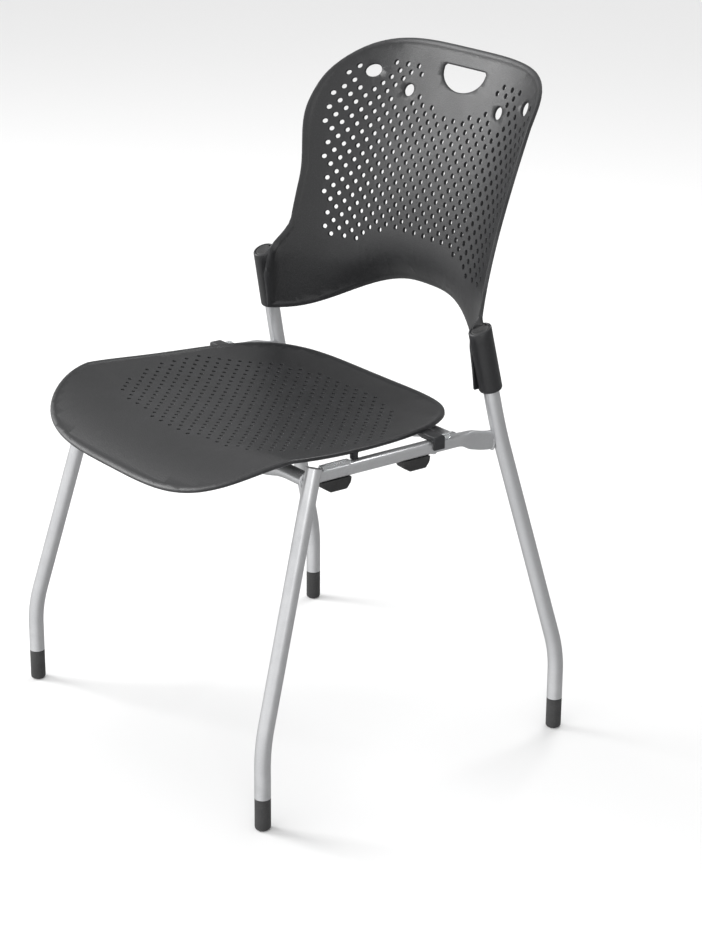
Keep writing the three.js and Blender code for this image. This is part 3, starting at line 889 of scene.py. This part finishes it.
def lattice(pitch: Point2, span: Point2) -> list[Point2]:
    """Gives the points of a staggered lattice.

    Args:
        pitch: The spacing along a row, and between every second row.
        span: Half the width and half the height to cover.

    Returns:
        The lattice's points, symmetric about X = 0.
    """
    points = []
    rows = round(span[1] / pitch[1] * 2)
    for row in range(-rows, rows + 1):
        shift = 0.5 if row % 2 else 0.0
        columns = round(span[0] / pitch[0]) + 1
        for column in range(-columns, columns + 1):
            points.append(((column + shift) * pitch[0], row * pitch[1] / 2))
    return points


def round_hole(centre: Point2, radius_x: float, radius_y: float, count: int) -> list[Point2]:
    """Gives the outline of an oval hole.

    Args:
        centre: Its middle.
        radius_x: Half its width.
        radius_y: Half its height.
        count: How many corners it has.

    Returns:
        The corners in order.
    """
    turn = 2 * math.pi / count
    return [(centre[0] + radius_x * math.cos((i + 0.5) * turn),
             centre[1] + radius_y * math.sin((i + 0.5) * turn)) for i in range(count)]


@dataclass
class Seat:
    """The seat shell, with its lugs and bosses, and the screws that hold it."""

    half_width: float = 0.230
    length: float = 0.412
    thickness: float = 0.005
    dish_level: float = 0.415
    power: float = 3.6
    taper: float = 0.075
    rear_rise: float = 0.009
    side_lift: float = 0.018
    fall_depth: float = 0.047
    fall_length: float = 0.112
    pitch: Point2 = (0.0195, 0.0193)
    hole_radius: float = 0.0028
    dish_setback: float = 0.046
    lug_width: float = 0.016
    lug_reach: float = 0.034

    def __post_init__(self) -> None:
        """Places the seat from its CAD box."""
        low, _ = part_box("seat_shell")
        self.front_y = low[1] + 0.0008
        self.middle_y = self.front_y + self.length / 2
        self.rear_y = self.front_y + self.length

    def height(self, x: float, y: float) -> float:
        """Gives the top surface's height: a dish with raised sides and a front that falls away.

        Args:
            x: The place across.
            y: The place from front to rear.

        Returns:
            The height.
        """
        dish_y = self.middle_y + self.dish_setback
        bowl = self.rear_rise * ((y - dish_y) / (self.rear_y - dish_y)) ** 2
        fall = max(0.0, (self.front_y + self.fall_length - y) / self.fall_length)
        fade = 1 - min(1.0, fall / 1.05)
        lift = self.side_lift * min(1.1, abs(x) / self.half_width) ** 2.6 * fade
        return self.dish_level + bowl + lift - self.fall_depth * fall ** 2

    def surface(self, x: float, y: float) -> tuple[Vector, Vector]:
        """Gives the point and the normal above a place in the plan.

        Args:
            x: The place across.
            y: The place from front to rear.

        Returns:
            The point and its upward normal.
        """
        step = 0.0005
        slope_x = (self.height(x + step, y) - self.height(x - step, y)) / (2 * step)
        slope_y = (self.height(x, y + step) - self.height(x, y - step)) / (2 * step)
        return Vector((x, y, self.height(x, y))), Vector((-slope_x, -slope_y, 1)).normalized()

    def outline(self) -> list[Point2]:
        """Gives the seat's outline in plan.

        Returns:
            Its corners in order.
        """
        points = []
        for a, b in square_rim(44):
            u, v = rounded_square(a, b, self.power)
            narrow = 1 - self.taper * smoothstep(v, -0.5, 0.9)
            points.append((u * self.half_width * narrow, self.middle_y + v * self.length / 2))
        return points

    def is_perforated(self, x: float, y: float) -> bool:
        """Says whether a small hole belongs at a place, Y being measured from the seat's middle.

        Args:
            x: The place across.
            y: The place behind the middle.

        Returns:
            Whether it does.
        """
        rear = 0.158 - 0.036 * (abs(x) / 0.145) ** 3
        front = -0.116 + 0.080 * (abs(x) / 0.186) ** 5
        return abs(x) < 0.199 and front < y < rear

    def perforations(self) -> list[Opening]:
        """Gives the small holes that fill the middle of the seat.

        Returns:
            The holes.
        """
        holes = []
        for x, y in lattice(self.pitch, (0.2, 0.18)):
            if not self.is_perforated(x, y):
                continue
            outline = round_hole((x, self.middle_y + y), self.hole_radius, self.hole_radius, 12)
            holes.append(Opening(outline, 0.0005))
        return holes

    def build(self) -> None:
        """Builds the seat shell and its screws."""
        maker = ShellMaker(self.outline(), self.perforations(), self.surface, self.thickness)
        bm = maker.build()
        for side, word in SIDES:
            self.add_fixings(bm, side, word)
            for place in ("front", "rear"):
                self.build_screw(f"seat_screw_{place}_{word}")
        finish_piece("seat_shell", bm, CHARCOAL, ["seat_shell"], sharp=50.0)

    def add_fixings(self, bm: bmesh.types.BMesh, side: int, word: str) -> None:
        """Adds the lug that hooks over the rail, and the boss over the front screw.

        Args:
            bm: The mesh to add to.
            side: 1 for the sitter's left, -1 for the right.
            word: The side's word in the piece's name.
        """
        rail_low, rail_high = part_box(f"side_rail_{word}")
        outer = max(abs(rail_low[0]), abs(rail_high[0]))
        rail_top = rail_high[2]
        screw_low, screw_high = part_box(f"seat_screw_rear_{word}")
        lug_y = (screw_low[1] + screw_high[1]) / 2
        under = rail_top + GAP
        shape = [(outer - self.lug_reach, under + 0.003), (outer - 0.022, under), (outer + GAP, under),
                 (outer + GAP, under - 0.0095), (outer + 0.0033, under - 0.0095),
                 (outer + 0.0033, under + 0.005), (outer + 0.0013, under + 0.007),
                 (outer - self.lug_reach, under + 0.007)]
        face = bm.faces.new([bm.verts.new((side * x, lug_y - self.lug_width / 2, z)) for x, z in shape])
        made = bmesh.ops.extrude_face_region(bm, geom=[face])["geom"]
        verts = verts_of(made)
        bmesh.ops.translate(bm, vec=(0, self.lug_width, 0), verts=verts)
        faces = {f for v in verts for f in v.link_faces}
        edges = list({e for f in faces for e in f.edges})
        bmesh.ops.bevel(bm, geom=edges, offset=0.0008, segments=2, profile=0.5, affect="EDGES",
                        material=-1)
        front_low, front_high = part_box(f"seat_screw_front_{word}")
        x, y = (front_low[0] + front_high[0]) / 2, (front_low[1] + front_high[1]) / 2
        top = self.height(x, y) - self.thickness / 2 - under
        profile = [(0.0023, top), (0.0023, 0.0), (0.0045, 0.0), (0.005, 0.0005), (0.005, top - 0.003),
                   (0.0065, top), (0.0023, top)]
        turned(bm, profile, Vector((x, y, under)), Vector((0, 0, 1)), 24)

    def build_screw(self, name: str) -> None:
        """Turns a seat screw, its head facing down.

        Args:
            name: The piece's name.
        """
        low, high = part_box(name)
        middle = Vector(((low[0] + high[0]) / 2, (low[1] + high[1]) / 2, low[2]))
        bm = bmesh.new()
        add_screw(bm, middle, Vector((0, 0, -1)), (high[0] - low[0]) / 2, 0.0024, 0.002,
                  high[2] - low[2] - 0.0024)
        finish_piece(name, bm, ZINC, [name], sharp=35.0)


def add_screw(bm: bmesh.types.BMesh, crown: Vector, outwards: Vector, head_radius: float,
              head_height: float, shank_radius: float, shank_length: float) -> None:
    """Adds a screw with a domed head and a round recess.

    Args:
        bm: The mesh to add to.
        crown: The top of its head.
        outwards: The way the head faces.
        head_radius: The head's radius.
        head_height: The head's height.
        shank_radius: The shank's radius.
        shank_length: The shank's length below the head.
    """
    base = -head_height
    profile = [(0.0, base * 0.7), (head_radius * 0.42, base * 0.7), (head_radius * 0.45, 0.0)]
    profile += [(head_radius * math.sin(a), base * (1 - math.cos(a * 0.9)) * 0.8)
                for a in (0.7, 0.95, 1.2, 1.45, math.pi / 2)]
    profile += [(head_radius, base), (shank_radius, base)]
    turns = 14
    for turn in range(turns * 2):
        at = base - shank_length * (turn + 1) / (turns * 2 + 2)
        profile.append((shank_radius * (1.0 if turn % 2 else 0.86), at))
    profile += [(shank_radius * 0.6, base - shank_length), (0.0, base - shank_length)]
    turned(bm, profile, crown, outwards, 30)


@dataclass
class Back:
    """The back shell with its two sockets, their discs and their screws."""

    half_width: float = 0.211
    waist: float = 0.013
    shoulder: float = 0.655
    thickness: float = 0.005
    power: float = 4.4
    rake: float = 0.093
    wing_depth: float = 0.067
    wing_power: float = 3.3
    rake_foot: float = 0.539
    arch_top: float = 0.531
    arch_rise: float = 0.065
    arch_power: float = 1.3
    arch_curl: float = 0.028
    curl_height: float = 0.060
    fillet: float = 0.024
    socket_radius: float = 0.0145
    socket_length: float = 0.081
    socket_roof: float = 0.007
    pitch: Point2 = (0.0187, 0.0178)
    hole_radius: float = 0.0035
    lattice_z: float = 0.6001
    arch_setback: float = 0.071
    handle_top: float = 0.808
    handle_half: float = 0.043
    handle_depth: float = 0.033
    handle_corner: float = 0.007
    disc_radius: float = 0.0109
    screw_drop: float = 0.048

    def __post_init__(self) -> None:
        """Places the back from the frame."""
        self.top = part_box("back_shell")[1][2]
        self.tubes = TubeFrame()
        self.post = self.tubes.rear_points(1)[-1]
        self.arch_y = self.post.y + self.arch_setback
        self.join_x = self.post.x - self.socket_radius * 0.5
        self.lines = {side: self.find_post_line(side) for side, _ in SIDES}

    def arch(self, x: float) -> float:
        """Gives the height of the arched lower edge."""
        across = min(1.0, abs(x) / self.half_width) ** self.arch_power
        return self.arch_top - self.arch_rise * math.sin(across * math.pi / 2) ** 2

    def depth(self, x: float, z: float) -> float:
        """Gives the front surface's Y: raked, swept forward at the sides, and curled rearward below.

        Args:
            x: The place across.
            z: The height.

        Returns:
            The surface's Y.
        """
        rise = max(0.0, (z - self.rake_foot) / (self.top - self.rake_foot))
        flatter = 1 - 0.2 * smoothstep(z, self.top - 0.06, self.top)
        wing = self.wing_depth * flatter * min(1.02, abs(x) / self.half_width) ** self.wing_power
        near_arch = min(1.0, max(0.0, 1 - (z - self.arch(x)) / self.curl_height))
        near_middle = 1 - smoothstep(abs(x), self.half_width * 0.12, self.half_width * 0.88)
        curl = self.arch_curl * near_middle * near_arch ** 2
        return self.arch_y + self.rake * rise ** 1.4 - wing + curl

    def surface(self, x: float, z: float) -> tuple[Vector, Vector]:
        """Gives the point and the forward normal at a place in the front view.

        Args:
            x: The place across.
            z: The height.

        Returns:
            The point and its normal.
        """
        step = 0.0005
        slope_x = (self.depth(x + step, z) - self.depth(x - step, z)) / (2 * step)
        slope_z = (self.depth(x, z + step) - self.depth(x, z - step)) / (2 * step)
        return Vector((x, self.depth(x, z), z)), Vector((slope_x, -1, slope_z)).normalized()

    def outline(self) -> list[Point2]:
        """Gives the back's outline in the front view.

        Returns:
            Its corners in order.
        """
        points = []
        for a, b in square_rim(46):
            u, v = rounded_square(a, b, self.power) if b > 0 else (a, b)
            foot_z = self.arch_top - self.arch_rise
            edge_z = mix(self.shoulder, self.top, v) if v > 0 else mix(self.shoulder, foot_z, -v)
            waist = self.waist * (1 - smoothstep(edge_z, self.shoulder - 0.015, self.shoulder + 0.085))
            flare = 1 - smoothstep(edge_z, self.post.z, self.post.z + 0.052)
            x = u * mix(self.half_width - waist, self.join_x, flare)
            points.append((x, mix(self.shoulder, self.top, v) if v > 0
                           else mix(self.shoulder, self.arch(x), -v)))
        return points

    def handle(self) -> Opening:
        """Gives the hand slot: flat above and round below.

        Returns:
            The slot.
        """
        top, half = self.handle_top, self.handle_half
        depth, corner = self.handle_depth, self.handle_corner
        points = []
        for i in range(36):
            angle = math.pi * (1 + i / 35)
            points.append((half * math.cos(angle) * 0.985,
                           top - corner + (depth - corner) * math.sin(angle)))
        for sign in (1, -1):
            for i in range(1, 7):
                angle = (i / 7 if sign > 0 else 1 - i / 7) * math.pi / 2
                points.append((sign * (half - corner + corner * math.cos(angle)),
                               top - corner + corner * math.sin(angle)))
        return Opening(points, 0.0014)

    def large_holes(self) -> list[tuple[float, float, float, float]]:
        """Gives each large hole's centre and half sizes."""
        pair = [(0.088, 0.766, 0.009, 0.0085), (0.149, 0.783, 0.0115, 0.009)]
        return [(side * x, z, rx, rz) for x, z, rx, rz in pair for side in (1, -1)]

    def is_perforated(self, x: float, z: float) -> bool:
        """Says whether a small hole belongs at a place in the front view.

        Args:
            x: The place across.
            z: The height.

        Returns:
            Whether it does.
        """
        reach = 0.164 + (z - 0.596) * 0.197
        upper = max(0.0, (z - 0.690) / 0.112)
        edge = abs(x / reach) ** 4.3 + upper ** 4.3
        above_arch = z > max(0.572, 0.598 - 0.026 * (x / 0.115) ** 2)
        near_handle = (x / 0.076) ** 2 + ((z - 0.810) / 0.064) ** 2 < 1
        near_hole = any(math.hypot((x - hx) / (rx + 0.008), (z - hz) / (rz + 0.008)) < 1
                        for hx, hz, rx, rz in self.large_holes())
        return above_arch and edge < 1 and not near_handle and not near_hole

    def openings(self) -> list[Opening]:
        """Gives every hole in the back.

        Returns:
            The hand slot, the large holes and the small ones.
        """
        found = [self.handle()]
        for x, z, rx, rz in self.large_holes():
            found.append(Opening(round_hole((x, z), rx, rz, 32), 0.001))
        for x, z in lattice(self.pitch, (0.2, 0.22)):
            place = (x + self.pitch[0] / 2, z + self.lattice_z)
            if self.is_perforated(*place):
                found.append(Opening(round_hole(place, self.hole_radius, self.hole_radius, 14), 0.0006))
        return found

    def build(self) -> None:
        """Builds the back shell with its sockets, then what goes into them."""
        fine_cuts = [side * (self.join_x - i * 0.0035) for side in (1, -1) for i in range(1, 10)]
        maker = ShellMaker(self.outline(), self.openings(), self.surface, self.thickness,
                           fine_cuts=fine_cuts, swell=self.swell)
        bm = maker.build()
        for side, word in SIDES:
            self.add_socket(bm, side)
            self.build_disc(side, word)
            self.build_screw(side, word)
        finish_piece("back_shell", bm, CHARCOAL, ["back_shell"], sharp=50.0)

    def find_post_line(self, side: int) -> tuple[Vector, Vector]:
        """Gives the crown of a socket and the direction of the post in it.

        Args:
            side: 1 for the sitter's left, -1 for the right.

        Returns:
            The point and the direction.
        """
        points = self.tubes.rear_points(side)
        up = (points[-1] - points[-2]).normalized()
        return points[-1] + up * self.socket_roof, up

    def swell(self, point: Vector) -> float:
        """Gives how much each face of the board swells to run into its socket in a fillet.

        Args:
            point: A point on the board's front face.

        Returns:
            The swell, 0 away from the sockets.
        """
        crown, up = self.lines[1 if point.x > 0 else -1]
        along = (point - crown).dot(up)
        away = (point - crown - up * along).length
        outer, half = self.socket_radius, self.thickness / 2
        reach = math.sqrt((outer + self.fillet) ** 2 - (self.fillet + half) ** 2)
        inside = reach - max(away, reach * outer / (outer + self.fillet))
        if inside <= 0:
            return 0.0
        fade = 1 - smoothstep(along, -0.006, 0.012)
        return fade * (self.fillet - math.sqrt(self.fillet ** 2 - inside ** 2))

    def tilt_crown(self, bm: bmesh.types.BMesh, crown: Vector, up: Vector) -> None:
        """Tilts the top of a socket or disc so that it faces a little forward.

        Args:
            bm: The mesh that holds it.
            crown: The socket's crown.
            up: The post's direction.
        """
        rearward = rearward_of(up)
        for vert in bm.verts:
            offset = vert.co - crown
            along = offset.dot(up)
            if -0.02 < along < 0.003 and (offset - up * along).length < self.socket_radius + 0.0005:
                vert.co += up * (offset.dot(rearward) * 0.2 * smoothstep(along, -0.02, -0.004))

    def add_socket(self, bm: bmesh.types.BMesh, side: int) -> None:
        """Adds a post socket: rounded below, recessed above, with its bore open downwards.

        Args:
            bm: The mesh to add to.
            side: 1 for the sitter's left, -1 for the right.
        """
        crown, up = self.lines[side]
        outer, length = self.socket_radius, self.socket_length
        bore = self.tubes.tube_radius + GAP
        soft = 0.004
        rounding = [(outer - soft + soft * math.sin(a * math.pi / 12),
                     -length + soft - soft * math.cos(a * math.pi / 12)) for a in range(7)]
        profile = [(0.0, -0.0025), (0.0112, -0.0025), (0.0114, -0.0006), (0.0118, 0.0),
                   (outer - 0.0016, 0.0), (outer - 0.0005, -0.0005), (outer, -0.0016),
                   (outer, -0.012), (outer, -0.021), (outer, -length * 0.5), *reversed(rounding),
                   (bore + 0.0005, -length), (bore, -length + 0.0005),
                   (bore, -self.socket_roof + GAP), (0.0, -self.socket_roof + GAP)]
        socket = bmesh.new()
        turned(socket, profile, crown, up, 48)
        self.tilt_crown(socket, crown, up)
        mesh = bpy.data.meshes.new("socket")
        socket.to_mesh(mesh)
        socket.free()
        bm.from_mesh(mesh)
        bpy.data.meshes.remove(mesh)

    def build_disc(self, side: int, word: str) -> None:
        """Turns the disc that closes the socket, dished, with a pry notch behind.

        Args:
            side: 1 for the sitter's left, -1 for the right.
            word: The side's word in the piece's name.
        """
        crown, up = self.lines[side]
        radius = self.disc_radius
        profile = [(0.0, -0.0022), (radius, -0.0022), (radius, -0.0007), (radius - 0.0005, -0.0003),
                   (radius - 0.002, -0.0003), (radius - 0.0028, -0.0008), (0.0, -0.0010)]
        bm = bmesh.new()
        turned(bm, profile, crown, up, 44)
        rearward = rearward_of(up)
        notch = crown + rearward * radius
        for vert in bm.verts:
            if (vert.co - notch).length < 0.0028:
                vert.co -= rearward * 0.0014 + up * 0.0004
        self.tilt_crown(bm, crown, up)
        finish_piece(f"socket_cap_{word}", bm, CAP_GREY, [f"socket_cap_{word}"], sharp=50.0)

    def build_screw(self, side: int, word: str) -> None:
        """Turns the screw that holds the back on the post.

        Args:
            side: 1 for the sitter's left, -1 for the right.
            word: The side's word in the piece's name.
        """
        crown, up = self.lines[side]
        rearward = rearward_of(up)
        centre = crown - up * (self.socket_roof + self.screw_drop)
        bm = bmesh.new()
        add_screw(bm, centre + rearward * (self.socket_radius + 0.0001), rearward, 0.0046, 0.0026,
                  0.0025, 0.0058)
        finish_piece(f"back_screw_{word}", bm, ZINC, [f"back_screw_{word}"], sharp=35.0)


# ---- Studio --------------------------------------------------------------------------------------
@dataclass
class Studio:
    """The floor, the lights and the camera."""

    lens_length: float = 92.70763
    lens_shift: Point2 = (0.00635593, -0.00529661)
    azimuth: float = math.radians(52.72)
    elevation: float = math.radians(20.33)
    roll: float = math.radians(0.39)
    distance: float = 2.876
    dim: float = 0.42
    bright: float = 1.4
    sky_edge: float = -0.5
    bright_side: Vector = field(default_factory=lambda: Vector((-0.05, -0.85, 0.35)))
    target: Vector = field(default_factory=lambda: Vector((0.196, 0.167, 0.4)))

    def build(self) -> None:
        """Builds the studio."""
        self.build_floor()
        self.build_lights()
        self.build_camera()

    def build_floor(self) -> None:
        """Lays a wide, pale, plain floor."""
        bm = bmesh.new()
        bmesh.ops.create_grid(bm, x_segments=1, y_segments=1, size=30.0)
        mesh = bpy.data.meshes.new("floor")
        bm.to_mesh(mesh)
        bm.free()
        floor = link("floor", mesh)
        paper = bpy.data.materials.new("pale_paper")
        paper.use_nodes = True
        shader = paper.node_tree.nodes["Principled BSDF"]
        shader.inputs["Base Color"].default_value = (0.86, 0.86, 0.86, 1.0)
        shader.inputs["Roughness"].default_value = 0.9
        shader.inputs["Specular IOR Level"].default_value = 0.1
        mesh.materials.append(paper)
        floor.visible_glossy = False

    def add_light(self, name: str, place: Vector, aim: Vector, size: float, power: float) -> None:
        """Hangs a square soft box.

        Args:
            name: The light's name.
            place: Where it hangs.
            aim: What it points at.
            size: Its side.
            power: Its power in watts.
        """
        lamp = bpy.data.lights.new(name, "AREA")
        lamp.size = size
        lamp.energy = power
        holder = link(name, lamp)
        holder.location = place
        holder.rotation_euler = (aim - place).to_track_quat("-Z", "Y").to_euler()

    def build_lights(self) -> None:
        """Sets a white surround that is brightest in front, with a key, an overhead and a side box."""
        world = bpy.data.worlds.new("studio")
        world.use_nodes = True
        tree = world.node_tree
        background = tree.nodes["Background"]
        background.inputs["Color"].default_value = (1.0, 1.0, 1.0, 1.0)
        facing = tree.nodes.new("ShaderNodeVectorMath")
        facing.operation = "DOT_PRODUCT"
        facing.inputs[1].default_value = self.bright_side.normalized()
        tree.links.new(tree.nodes.new("ShaderNodeTexCoord").outputs["Generated"], facing.inputs[0])
        sky = ramp(tree, facing.outputs["Value"], self.sky_edge, 1.0, self.dim, self.bright)
        sky.node.interpolation_type = "SMOOTHSTEP"
        tree.links.new(sky, background.inputs["Strength"])
        bpy.context.scene.world = world
        bpy.context.scene.view_settings.view_transform = "Standard"
        aim = Vector((0.0, 0.0, 0.45))
        self.add_light("key_box", Vector((-2.6, -1.7, 2.1)), aim, 1.3, 70.0)
        self.add_light("overhead_box", Vector((-0.6, 1.6, 2.8)), aim, 1.0, 26.0)
        self.add_light("side_box", Vector((2.6, -1.4, 1.2)), aim, 0.7, 12.0)

    def build_camera(self) -> None:
        """Sets a long lens in front of the chair, above it and to the sitter's left."""
        foot = TubeFrame().foot(1, "front")
        target = Vector((self.target.x, foot.y + self.target.y, self.target.z))
        sin_a, cos_a = math.sin(self.azimuth), math.cos(self.azimuth)
        sin_e, cos_e = math.sin(self.elevation), math.cos(self.elevation)
        back = Vector((sin_a * cos_e, -cos_a * cos_e, sin_e))
        level = Vector((cos_a, sin_a, 0.0))
        upright = back.cross(level)
        right = level * math.cos(self.roll) + upright * math.sin(self.roll)
        up = upright * math.cos(self.roll) - level * math.sin(self.roll)
        lens = bpy.data.cameras.new("camera")
        lens.sensor_width = 36.0
        lens.lens = self.lens_length
        lens.shift_x, lens.shift_y = self.lens_shift
        camera = link("camera", lens)
        turn = Matrix((right, up, back)).transposed().to_4x4()
        camera.matrix_world = Matrix.Translation(target + back * self.distance) @ turn
        bpy.context.scene.camera = camera


def main() -> None:
    """Builds the chair and the studio."""
    logging.basicConfig(level=logging.INFO)
    for make in (grain_group, mottle_group, wear_group):
        make()
    TubeFrame().build()
    Seat().build()
    Back().build()
    Studio().build()


if __name__ == "__main__":
    main()
